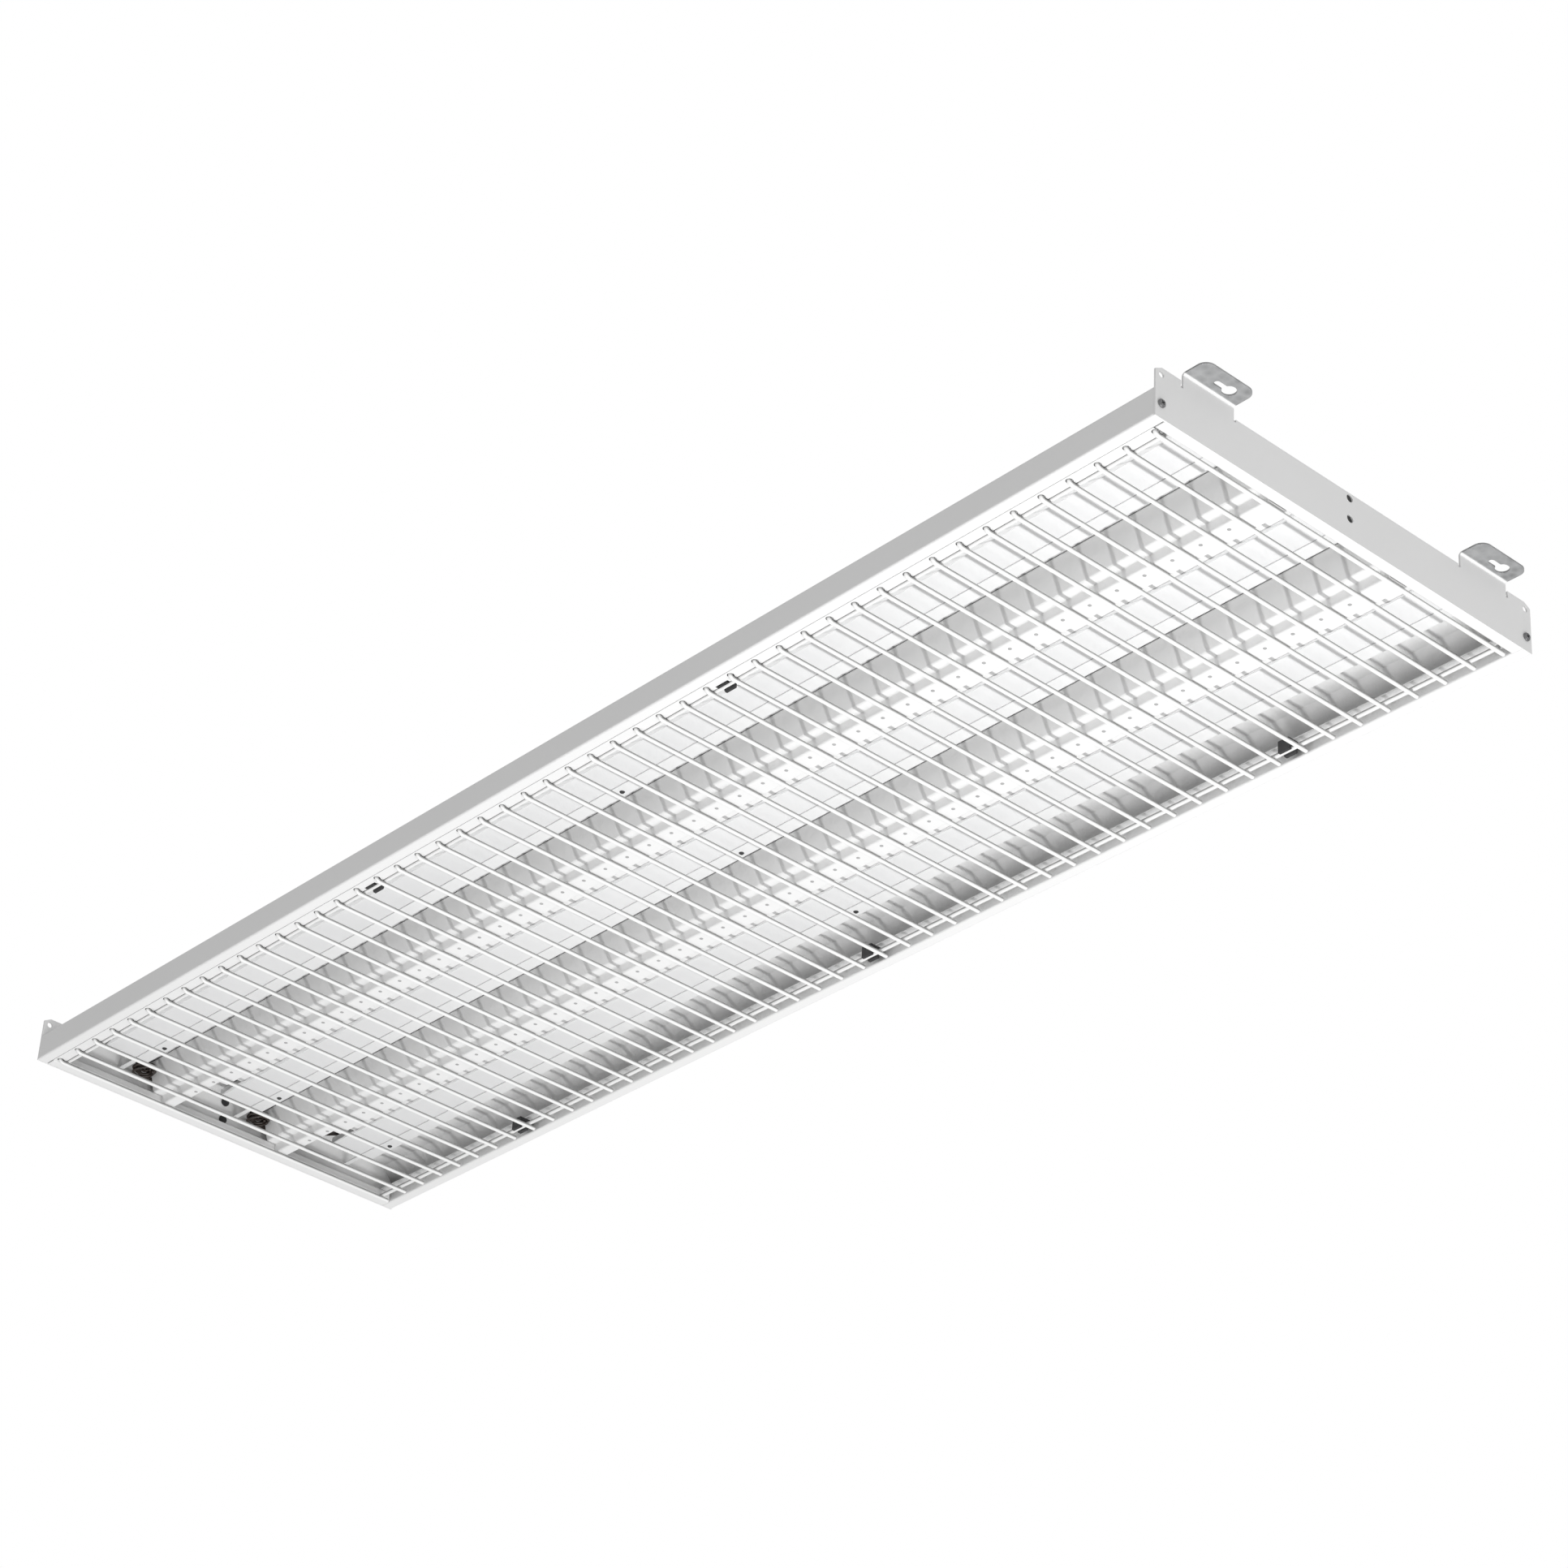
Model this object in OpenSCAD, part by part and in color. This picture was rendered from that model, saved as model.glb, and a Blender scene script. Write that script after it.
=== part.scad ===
// Surface-mounted linear light with three reflector rows behind a hinged wire guard.
// Millimetres, +Z up. Origin: centre of the ceiling plane that the four mounting ears touch.
// X runs along the housing, Y across it; the guard is hinged on the +Y side.

/* [Body] */
// Length over the two end plates (one guard wire every 30 mm)
body_length = 1500; // [900:60:1800]
// Distance between the centres of neighbouring reflector rows
row_pitch = 139.5; // [135:0.5:155]
// Drop from the ceiling to the bottom rim of the housing
hang_drop = 56; // [56:1:66]
// Sheet thickness of the housing tray
tray_t = 1.2; // [1:0.1:1.4]
// Sheet thickness of the end plates
plate_t = 1.5; // [1.3:0.1:1.8]

/* [Mounting ears] */
// Width of one mounting ear
ear_w = 56; // [44:1:60]
// How far an ear reaches out from the end plate
ear_reach = 24; // [20:1:30]
// Large end of the keyhole, for the screw head
keyhole_d = 12; // [9:0.5:13]
// Narrow end of the keyhole, for the screw shank
keyhole_slot = 5.5; // [4:0.5:6.5]

/* [Guard] */
// Diameter of the guard wires
wire_d = 4; // [3:0.5:4.5]

/* [Light rows] */
// Width of one opal cover
cover_w = 47.8; // [44:0.2:48.2]
// Light sources along one row, spaced 30 mm
chip_count = 48; // [20:1:48]

/* [Hidden] */

hl = body_length / 2;               // half length, outer faces of the end plates
hw = 1.5 * row_pitch + 8.75;        // half width, outer faces of the side walls
lip_y = hw - 11.5;                  // inner face of the side lips
rim_z = -hang_drop;                 // bottom rim
wall_z = 26;                        // side wall height above the rim
top_z = 43.5;                       // outer face of the tray's top
shelf_z = 10.3;                     // shelf level above the rim
rail_hw = 10.5;                     // half width of a mid rail
rail_t = 1.2;
in_x = hl - plate_t;                // inner faces of the end plates
lip_x = hl - 12;                    // inner faces of the end lips
far_gap = 31;                       // open wiring space at the far end
mod_x0 = -hl + far_gap;             // far end of the light rows
mod_x1 = in_x - 1.5;                // near end of the light rows
wall_u0 = row_pitch / 2 - 26.45;    // lower edge of a reflector, latch side
cover_z = 25.7;                     // visible face of an opal cover
web_z = 32.8;                       // underside of the reflector's web
ref_t = 0.8;
rec_u = 24.2;                       // inner half width of the reflector's recess
strip_u = 10.5;                     // inner edge of the riveted strip beside the cover
wall_x = hl - 11;                   // ends of the mid rails' tall walls
cross_z = -0.3 - wire_d / 2;        // axis height of the cross wires
long_z = cross_z + wire_d - 0.05;   // axis height of the long wires
hinge_y = lip_y - 13;               // hinge wire
latch_y = -(lip_y - 13);            // latch wire
tip_y = -lip_y + 3.3;               // upturned ends of the cross wires
n_wires = floor(body_length / 30);
pitch = 29.95;                      // spacing of the guard's cross wires
wire_x0 = 3.2;                      // half a pitch before the first cross wire
ear_y = 160 * hw / 218;             // centre of an ear
rows = [-row_pitch, 0, row_pitch];
screw_y = hw - 6.5;
rivet_x = [-678 * hl / 750, 19 * hl / 750, 710 * hl / 750];
driver_x = [-300 * hl / 750, 180 * hl / 750];
driver_l = 240;
spacer_x = [-0.86 * hl, 0, 0.9 * hl];
rivet_u = 18.4;                     // rivets' offset from a row's middle
lead_x = [-hl + 57, -hl + 67];      // where the two leads reach a board

white = [0.93, 0.93, 0.92];
steel = [0.75, 0.76, 0.77];
black = [0.06, 0.06, 0.06];
opal = [0.95, 0.95, 0.94];
brown = [0.13, 0.09, 0.07];

// ---------- helpers ----------
// everything below is drawn from the bottom rim upward
module rim() { translate([0, 0, rim_z]) children(); }
// 2D (across, up) pushed along X from x0 to x1
module along_x(x0, x1) { translate([x0, 0, 0]) rotate([90, 0, 90]) linear_extrude(x1 - x0) children(); }
// 2D (along, up) pushed along Y from y0 to y1
module along_y(y0, y1) { translate([0, y1, 0]) rotate([90, 0, 0]) linear_extrude(y1 - y0) children(); }

function unit(v) = v / norm(v);
function left(v) = [-v[1], v[0]];
// centre line of a bent sheet: inner corners become arcs of radius r
function arc_pts(a, b, c, r, n) =
  let (u = unit(a - b), v = unit(c - b), ang = acos(max(-1, min(1, u * v))),
       d = r / tan(ang / 2), p = b + u * d, q = b + v * d,
       m = b + unit(u + v) * (r / sin(ang / 2)))
  [for (i = [0 : n]) let (w = (1 - i / n) * (p - m) + (i / n) * (q - m)) m + unit(w) * r];
function bent(P, r, n = 5) = concat([P[0]],
  [for (i = [1 : len(P) - 2]) each arc_pts(P[i - 1], P[i], P[i + 1], r, n)], [P[len(P) - 1]]);
function offs(Q, h) = [for (i = [0 : len(Q) - 1])
  let (a = i == 0 ? unit(Q[1] - Q[0]) : unit(Q[i] - Q[i - 1]),
       b = i == len(Q) - 1 ? a : unit(Q[i + 1] - Q[i]),
       n = unit(left(a) + left(b)))
  Q[i] + n * (h / (n * left(a)))];
module sheet(P, t, r, n = 5) {
  Q = bent(P, r, n);
  A = offs(Q, t / 2);
  B = offs(Q, -t / 2);
  polygon(concat(A, [for (i = [len(B) - 1 : -1 : 0]) B[i]]));
}

// smooth tube through points
function cr(a, b, c, d, t) = 0.5 * (2 * b + (c - a) * t + (2 * a - 5 * b + 4 * c - d) * t * t + (3 * b - a - 3 * c + d) * t * t * t);
function smooth(P, n) = concat([for (i = [0 : len(P) - 2]) for (j = [0 : n - 1])
  cr(P[max(i - 1, 0)], P[i], P[i + 1], P[min(i + 2, len(P) - 1)], j / n)], [P[len(P) - 1]]);
function tang(P, i) = unit(P[min(i + 1, len(P) - 1)] - P[max(i - 1, 0)]);
function carry(P, i, u) = i >= len(P) ? [] :
  let (t = tang(P, i), w = unit(u - (u * t) * t)) concat([w], carry(P, i + 1, w));
module tube(P, r, m = 10) {
  n = len(P);
  t0 = tang(P, 0);
  u0 = abs(t0[2]) < 0.8 ? [0, 0, 1] : [0, 1, 0];
  U = carry(P, 0, u0);
  pts = [for (i = [0 : n - 1]) for (k = [0 : m - 1])
    let (v = cross(tang(P, i), U[i])) P[i] + r * (cos(360 * k / m) * U[i] + sin(360 * k / m) * v)];
  faces = concat([[for (k = [0 : m - 1]) k]], [[for (k = [m - 1 : -1 : 0]) (n - 1) * m + k]],
    [for (i = [0 : n - 2]) for (k = [0 : m - 1])
      [i * m + k, (i + 1) * m + k, (i + 1) * m + (k + 1) % m, i * m + (k + 1) % m]]);
  polyhedron(points = pts, faces = faces, convexity = 6);
}
// screw with a domed-edge cheese head and a cross recess; axis +Z, head on top, seat at z = 0
module screw(r, l, hr, hh) {
  difference() {
    union() {
      translate([0, 0, -l]) cylinder(r = r, h = l + 0.01, $fn = 32);
      cylinder(r = hr, h = hh * 0.6, $fn = 40);
      translate([0, 0, hh * 0.6]) cylinder(r1 = hr, r2 = hr * 0.72, h = hh * 0.4, $fn = 40);
    }
    translate([-hr * 0.55, -0.45, hh * 0.35]) cube([hr * 1.1, 0.9, hh]);
    translate([-0.45, -hr * 0.55, hh * 0.35]) cube([0.9, hr * 1.1, hh]);
  }
}

// ---------- housing ----------
module housing_tray() color(white) rim() difference() {
  union() {
   // latch side: the lip runs on inward as a flat ledge that the guard's wire ends plug into
   along_x(-lip_x + 0.3, lip_x - 0.3) translate([-lip_y - 0.8, 0]) square([10.3, tray_t]);
   along_x(-in_x, in_x) {
    h = tray_t / 2;
    s = hw - 18;
    sheet([[-lip_y + 22.5, shelf_z + h], [-lip_y - h, shelf_z + h], [-lip_y - h, h], [-hw + h, h], [-hw + h, wall_z],
      [-s, top_z - h], [s, top_z - h], [hw - h, wall_z], [hw - h, h], [lip_y + h, h],
      [lip_y + h, shelf_z + h], [lip_y - 12.2, shelf_z + h]], tray_t, 1.5, 5);
   }
  }
  for (i = [0 : n_wires - 1]) translate([-hl + wire_x0 + pitch * (i + 0.5), tip_y + 0.6, -1]) cylinder(r = wire_d / 2 + 1.1, h = 3.2, $fn = 28);
  for (x = latch_clip_x) translate([cell(x) - 7.5, -lip_y + 6.9, -1]) cube([15, 4, 3.2]);
  // far end: the latch-side shelf is cut back beside the wiring space
  translate([-hl - 1, -lip_y + 16, shelf_z - 1]) cube([hl + 1 - (hl - 84), 12, 4]);
  // rivet holes of the clips in the two shelves
  for (x = hinge_clip_x) translate([cell(x), hinge_y + 8.2, shelf_z - 1]) cylinder(r = 1.6, h = 4, $fn = 28);
  for (x = latch_clip_x) translate([cell(x), latch_y - 8.2, shelf_z - 1]) cylinder(r = 1.6, h = 4, $fn = 28);
  // holes in the top: spacers, drivers, terminal block, earth stud, cable entry
  for (y = rows, x = spacer_x) translate([x, y, top_z - 3]) cylinder(r = 2.15, h = 5, $fn = 32);
  for (s = [-1, 1], e = [-1, 1])
    translate([driver_x[s < 0 ? 0 : 1] + e * (driver_l / 2 + 6), s * row_pitch / 2, top_z - 3]) cylinder(r = 2.15, h = 5, $fn = 32);
  translate([0.62 * hl, -row_pitch / 2, top_z - 3]) cylinder(r = 2.15, h = 5, $fn = 32);
  translate([0.70 * hl, -row_pitch / 2, top_z - 3]) cylinder(r = 2.15, h = 5, $fn = 32);
  translate([0.80 * hl, -row_pitch / 2, top_z - 3]) cylinder(r = 9.5, h = 5, $fn = 48);
}

// plan shape of one keyhole, large end toward +Y, at the ear's centre
module keyhole_2d() {
  translate([0, 11]) circle(r = keyhole_d / 2, $fn = 48);
  translate([0, -2]) circle(r = keyhole_slot / 2, $fn = 40);
  translate([-keyhole_slot / 2, -2]) square([keyhole_slot, 13]);
}
key_x = 10.8;                        // keyhole axis beyond the end plate's outer face

module end_plate() difference() {
  e = ear_w / 2;
  out_y = hw - 7;
  union() {
    // the plate itself, with raised shoulders outside the ears
    along_x(in_x, hl) difference() {
      union() {
        polygon([[-hw, 0], [hw, 0], [hw, 43.7], [out_y, 47.5], [ear_y + e + 2, 47.5], [ear_y + e + 2, top_z],
          [-ear_y - e - 2, top_z], [-ear_y - e - 2, 47.5], [-out_y, 47.5], [-hw, 43.7]]);
        for (s = [-1, 1]) translate([s * ear_y - e, 40]) square([ear_w, 6]);
      }
      // relief notches beside the ears
      for (s = [-1, 1], k = [-1, 1]) translate([s * ear_y + k * (e + 1.25) - 1.25, top_z - 2.5]) square([2.5, 3.4]);
    }
    // four-edge rim: bottom flange and its return lip
    along_y(-lip_y + 0.3, lip_y - 0.3)
      sheet([[hl - plate_t / 2, 5], [hl - plate_t / 2, plate_t / 2], [lip_x + plate_t / 2, plate_t / 2],
        [lip_x + plate_t / 2, shelf_z - 0.05]], plate_t, 1.6, 5);
    // ears
    for (s = [-1, 1]) difference() {
      along_y(s * ear_y - e, s * ear_y + e)
        sheet([[hl - plate_t / 2, 42], [hl - plate_t / 2, hang_drop - plate_t / 2],
          [hl + ear_reach, hang_drop - plate_t / 2]], plate_t, 2.6, 7);
      for (k = [-1, 1]) translate([hl + ear_reach - 9, s * ear_y + k * (e - 9), hang_drop - 4])
        linear_extrude(8) difference() {
          translate([0, k > 0 ? 0 : -10]) square([10, 10]);
          circle(r = 9, $fn = 48);
        }
      translate([hl + key_x, s * ear_y, hang_drop - 4]) linear_extrude(8) keyhole_2d();
    }
  }
  // corner holes, middle holes and screw holes
  for (s = [-1, 1]) {
    translate([hl - 4, s * screw_y, 41]) rotate([0, 90, 0]) cylinder(r = 2.75, h = 8, $fn = 36);
    translate([hl - 4, s * screw_y, 13.5]) rotate([0, 90, 0]) cylinder(r = 2.1, h = 8, $fn = 32);
  }
  translate([hl - 4, 0, 38.7]) rotate([0, 90, 0]) cylinder(r = 3.5, h = 8, $fn = 40);
  translate([hl - 4, 0, 19.1]) rotate([0, 90, 0]) cylinder(r = 3.5, h = 8, $fn = 40);
}
module end_plate_near() color(white) rim() end_plate();
module end_plate_far() color(white) rim() mirror([1, 0, 0]) end_plate();

module corner_bracket() difference() {
  bracket_body();
  translate([in_x - 4, screw_y, 13.5]) rotate([0, 90, 0]) cylinder(r = 2.02, h = 8, $fn = 32);
}
// L-shaped bracket seen from above: one leg on the side wall, one behind the end plate
module bracket_body() {
  b = hw - tray_t;
  translate([0, 0, 5]) linear_extrude(18) {
    translate([in_x - 16, b - 1.6]) square([16, 1.6]);
    translate([in_x - 1.6, lip_y + tray_t + 0.6]) square([1.6, b - lip_y - tray_t - 0.6]);
  }
}
module corner_brackets() color(steel) rim()
  for (a = [0, 1], b = [0, 1]) mirror([a, 0, 0]) mirror([0, b, 0]) corner_bracket();

module end_plate_screws() color(steel) rim()
  for (a = [0, 1], s = [-1, 1]) mirror([a, 0, 0]) translate([hl, s * screw_y, 13.5]) rotate([0, 90, 0])
    rotate([0, 0, 30]) screw(2, 7, 3.7, 2.2);

// black blanks snapped in behind the two middle holes of each end plate
module hole_blanks() color(black) rim() for (a = [0, 1], z = [19.1, 38.7]) mirror([a, 0, 0])
  translate([in_x - 1.25, 0, z]) rotate([90, 0, 90]) linear_extrude(1.2) intersection() {
    circle(r = 4.4, $fn = 40);
    translate([-5, -5]) square([10, 8.3]);
  }

// ---------- mid rails ----------
module mid_rail(y) color(white) rim() translate([0, y, 0]) {
  h = rail_t / 2;
  cut = hl - 98;                     // start of the cut-back at the far end
  foot = top_z - tray_t - h - 0.02;  // foot of the tall wall, under the tray's top
  difference() {
    union() {
      // nose and flanges, full length
      along_x(-in_x + 0.6, in_x - 0.6)
        sheet([[-19.2, shelf_z + h], [-rail_hw + h, shelf_z + h], [-rail_hw + h, h], [rail_hw - h, h],
          [rail_hw - h, shelf_z + h], [25.3, shelf_z + h]], rail_t, 1.4, 5);
      // tall side wall of the gear channel, leaning out to its foot
      along_x(-wall_x, wall_x)
        sheet([[-15, shelf_z + h], [-19.6, shelf_z + h], [-27.8, foot], [-20.5, foot]], rail_t, 1.2, 5);
    }
    // web and sides stop at the end lips; the upper flanges rest on them
    for (k = [-1, 1]) translate([k > 0 ? lip_x - 0.3 : -in_x, -30, -1]) cube([in_x - lip_x + 0.3, 60, shelf_z + 1]);
    for (k = [-1, 1]) translate([k > 0 ? lip_x - 0.3 : -in_x, -rail_hw - 1, shelf_z - 0.5]) cube([in_x - lip_x + 0.3, 2 * rail_hw + 2, 3]);
    // far end: the hinge-side half is cut away beside the wiring space
    translate([-in_x - 1, 0.6, -1]) cube([in_x + 1 - cut, 30, 20]);
    // notch for the supply lead near the other end
    translate([0.96 * hl - 7, -30, 34]) cube([14, 14, 12]);
  }
}
module mid_rail_latch_side() mid_rail(-row_pitch / 2);
module mid_rail_hinge_side() mid_rail(row_pitch / 2);

// ---------- light rows ----------
module reflector(y) rim() translate([0, y, 0]) difference() {
  h = ref_t / 2;
  union() {
    along_x(mod_x0, mod_x1)
      sheet([[-wall_u0, shelf_z + 0.4], [-rec_u - h, cover_z + 0.4], [-rec_u - h, web_z + h], [rec_u + h, web_z + h],
        [rec_u + h, cover_z + h], [strip_u, cover_z + h]], ref_t, 1.1, 4);
    // tongue of the riveted strip that runs on to the far end plate
    translate([-hl + 5, strip_u, cover_z]) cube([far_gap - 3, 5, ref_t]);
    translate([-hl + 5, strip_u + 5 - ref_t, cover_z]) cube([far_gap - 5.4, ref_t, 5]);
  }
  // far end: the latch-side wall is cut off at a slant
  along_y(-wall_u0 - 5, -rec_u - 0.9)
    polygon([[mod_x0 - 1, 5], [mod_x0 + 53, 5], [mod_x0 + 51, shelf_z], [mod_x0, cover_z + 0.9], [mod_x0 - 1, cover_z + 0.9]]);
  for (x = spacer_x) translate([x, 0, web_z - 1]) cylinder(r = 2.15, h = 3, $fn = 32);
  for (x = rivet_x) translate([x, rivet_u, cover_z - 1]) cylinder(r = 1.35, h = 3, $fn = 24);
  for (x = lead_x) translate([x, 8, web_z - 1]) cylinder(r = 2.6, h = 3, $fn = 32);
}
module reflector_latch_side() color(white) reflector(rows[0]);
module reflector_centre() color(white) reflector(rows[1]);
module reflector_hinge_side() color(white) reflector(rows[2]);

// spacers that hang the reflectors from the tray's top, threaded M4
module reflector_spacers() color(steel) rim() for (y = rows, x = spacer_x) translate([x, y, web_z + ref_t]) difference() {
  union() {
    cylinder(r = 4, h = top_z - tray_t - web_z - ref_t, $fn = 36);
    translate([0, 0, -ref_t]) cylinder(r = 2.1, h = ref_t + 0.1, $fn = 32);   // swaged spigot
  }
  translate([0, 0, 1.6]) cylinder(r = 2.02, h = 14, $fn = 32);
}
module spacer_screws() color(steel) rim() for (y = rows, x = spacer_x) {
  translate([x, y, top_z]) screw(2, 4.6, 3.7, 2.2);
}

module heat_spreader(y) color(steel) rim() translate([0, y, 0]) difference() {
  along_x(mod_x0 + 2, mod_x1 - 2)
    sheet([[-21.5, web_z - 3.2], [-21.5, web_z - 0.75], [21.5, web_z - 0.75], [21.5, web_z - 3.2]], 1.5, 1.0, 3);
  for (x = lead_x) translate([x, 8, web_z - 2]) cylinder(r = 2.6, h = 3, $fn = 32);
}
module heat_spreader_latch_side() heat_spreader(rows[0]);
module heat_spreader_centre() heat_spreader(rows[1]);
module heat_spreader_hinge_side() heat_spreader(rows[2]);

board_z = web_z - 1.5 - 1.0;
module led_board(y) color([0.9, 0.92, 0.9]) rim() translate([(mod_x0 + mod_x1) / 2, y, board_z])
  translate([-(mod_x1 - mod_x0 - 14) / 2, -12, 0]) cube([mod_x1 - mod_x0 - 14, 24, 1.0]);
module led_board_latch_side() led_board(rows[0]);
module led_board_centre() led_board(rows[1]);
module led_board_hinge_side() led_board(rows[2]);

chips = min(chip_count, floor((mod_x1 - mod_x0 - 30) / 30));
module led_chips(y) color([0.95, 0.85, 0.35]) rim() translate([(mod_x0 + mod_x1) / 2, y, board_z - 0.8])
  for (i = [0 : chips - 1]) translate([(i - (chips - 1) / 2) * 30 - 2.8, -1.5, 0]) cube([5.6, 3, 0.8]);
module led_chips_latch_side() led_chips(rows[0]);
module led_chips_centre() led_chips(rows[1]);
module led_chips_hinge_side() led_chips(rows[2]);

// opal cover: shallow channel, closed downward; its hinge-side edge lies on the riveted strip
module opal_cover(y) color(opal) rim() translate([0, y, 0]) difference() {
  w = cover_w / 2;
  along_x(mod_x0 + 1.6, mod_x1 - 1.6)
    sheet([[-w + 0.5, cover_z + 3.6], [-w + 0.5, cover_z + 0.7], [strip_u - 1.5, cover_z + 0.7], [strip_u - 0.2, cover_z + 1.65],
      [w - 1.3, cover_z + 1.65]], 1.4, 0.75, 5);
  for (x = rivet_x) translate([x, rivet_u, cover_z - 1]) cylinder(r = 1.35, h = 5, $fn = 24);
}
module opal_cover_latch_side() opal_cover(rows[0]);
module opal_cover_centre() opal_cover(rows[1]);
module opal_cover_hinge_side() opal_cover(rows[2]);

module module_end_caps() color(white) rim() for (y = rows, k = [0, 1]) difference() {
  translate([k == 0 ? mod_x0 + 0.1 : mod_x1 - 1.3, y - 23.8, cover_z]) cube([1.2, 47.6, web_z - cover_z - 0.1]);
  translate([k == 0 ? mod_x0 - 1 : mod_x1 - 3, y + strip_u - 0.3, cover_z - 1]) cube([4, 20, 1 + ref_t + 0.1]);
}

module cover_rivets() color(black) rim() for (y = rows, x = rivet_x) translate([x, y + rivet_u, 0]) {
  translate([0, 0, cover_z - 0.9]) cylinder(r1 = 1.8, r2 = 2.5, h = 0.9, $fn = 32);
  translate([0, 0, cover_z - 0.01]) cylinder(r = 1.25, h = web_z - 1.5 - cover_z + 0.01, $fn = 24);
}

// ---------- wiring ----------
// one row's two leads: from the plug-in block beside the far end plate, round the open corner,
// over the row's web and down to its board; the last row's pair comes from the other side
function lead_a(y) = smooth([[-hl + 6, y + 54, 31.8], [-hl + 6, y + 50, 31.8], [-hl + 8, y + 42, 32], [-hl + 13, y + 36, 34], [-hl + 16, y + 28.5, 34.5],
  [-hl + 22, y + 24, 37], [-hl + 34, y + 19, 39.2], [-hl + 48, y + 13, 39], [-hl + 55, y + 9, 37], [-hl + 56.8, y + 8, 34], [-hl + 57, y + 8, 31.4]], 4);
function lead_b(y) = smooth([[-hl + 6, y + 54, 27], [-hl + 6, y + 50, 27], [-hl + 7.5, y + 42, 25.6], [-hl + 10, y + 34, 25.6], [-hl + 13, y + 27, 28],
  [-hl + 20, y + 20, 34], [-hl + 34, y + 14, 38.6], [-hl + 50, y + 6, 39], [-hl + 62, y + 7, 38], [-hl + 66.6, y + 8, 34.4], [-hl + 67, y + 8, 31.4]], 4);
function lead_c(y) = smooth([[-hl + 6, y - 56.4, 31.8], [-hl + 6, y - 53.4, 31.8], [-hl + 6.8, y - 50.4, 32.1], [-hl + 12, y - 40, 35], [-hl + 22, y - 28, 38.8], [-hl + 38, y - 12, 39.2],
  [-hl + 52, y + 2, 38.8], [-hl + 56.4, y + 7, 36.4], [-hl + 57, y + 8, 33.6], [-hl + 57, y + 8, 31.4]], 4);
function lead_d(y) = smooth([[-hl + 6, y - 56.4, 27], [-hl + 6, y - 53.4, 27], [-hl + 7, y - 50.4, 27.4], [-hl + 16, y - 39, 32], [-hl + 32, y - 28, 38], [-hl + 50, y - 12, 39.2],
  [-hl + 62, y + 2, 38.8], [-hl + 66.4, y + 7, 36.4], [-hl + 67, y + 8, 33.6], [-hl + 67, y + 8, 31.4]], 4);
module led_lead(y) color(brown) rim() {
  tube(y == rows[2] ? lead_c(y) : lead_a(y), 1.7, 10);
  tube(y == rows[2] ? lead_d(y) : lead_b(y), 1.7, 10);
}
module led_lead_latch_side() led_lead(rows[0]);
module led_lead_centre() led_lead(rows[1]);
module led_lead_hinge_side() led_lead(rows[2]);

// plug-in blocks inside the gear channels, held against the far end plate, one for each row
module plug_block() difference() {
  union() {
    cube([8, 15, 12]);
    translate([0, 4, 12]) cube([8, 7, 1.5]);
  }
  translate([4.4, 8, -1]) cylinder(r = 2.2, h = 3, $fn = 28);
  for (z = [3, 7.8]) translate([4.4, -1, z]) rotate([-90, 0, 0]) cylinder(r = 1.95, h = 3.4, $fn = 28);
  translate([7.4, 6, 2]) cube([2, 1.2, 8]);
}
module lead_connectors() color(black) rim() {
  for (y = [rows[0], rows[1]]) translate([-hl + plate_t + 0.1, y + 52, 24]) plug_block();
  translate([-hl + plate_t + 0.1, rows[2] - 54.5, 24]) mirror([0, 1, 0]) plug_block();
}

module driver(s) color(white) rim() translate([driver_x[s < 0 ? 0 : 1], s * row_pitch / 2, 0]) difference() {
  t = top_z - tray_t;
  union() {
    translate([-driver_l / 2, -18, t - 21]) cube([driver_l, 36, 21]);
    for (k = [-1, 1]) translate([k * (driver_l / 2 + 5.5) - 6.5, -14, t - 2.5]) cube([13, 28, 2.5]);
  }
  for (k = [-1, 1]) {
    translate([k * (driver_l / 2 + 6), 0, t - 5]) cylinder(r = 2.1, h = 6, $fn = 32);
    // lead sockets in both ends
    for (c = [-1, 1]) translate([k * driver_l / 2, c * 8, t - 13]) rotate([0, 90, 0])
      translate([0, 0, k > 0 ? -8 : -1]) cylinder(r = 3.2, h = 9, $fn = 28);
  }
}
module driver_latch_side() driver(-1);
module driver_hinge_side() driver(1);
module driver_screws() color(steel) rim() for (s = [-1, 1], k = [-1, 1])
  translate([driver_x[s < 0 ? 0 : 1] + k * (driver_l / 2 + 6), s * row_pitch / 2, top_z]) screw(2, 5.5, 3.7, 2.2);

tb_x = 0.62 * hl;
module terminal_block() color([0.85, 0.85, 0.83]) rim() translate([tb_x, -row_pitch / 2, top_z - tray_t - 16]) difference() {
  translate([-16, -13, 0]) cube([32, 26, 16]);
  translate([0, 0, 9]) cylinder(r = 2.1, h = 8, $fn = 32);
  for (c = [-8, 0, 8]) {
    translate([-17, c, 6]) rotate([0, 90, 0]) cylinder(r = 1.9, h = 10, $fn = 24);
    translate([7, c, 6]) rotate([0, 90, 0]) cylinder(r = 1.9, h = 10, $fn = 24);
    translate([-10.5, c, -1]) cylinder(r = 1.8, h = 4.5, $fn = 24);
    translate([10.5, c, -1]) cylinder(r = 1.8, h = 4.5, $fn = 24);
  }
}
module terminal_screws() color(steel) rim() {
  translate([tb_x, -row_pitch / 2, top_z]) screw(2, 6.5, 3.7, 2.2);
  for (k = [-1, 1], c = [-8, 0, 8]) translate([tb_x + k * 10.5, -row_pitch / 2 + c, top_z - tray_t - 16 + 1.2]) difference() {
    cylinder(r = 1.7, h = 2.2, $fn = 24);
    translate([-2, -0.3, -0.1]) cube([4, 0.6, 0.8]);
  }
}
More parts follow.
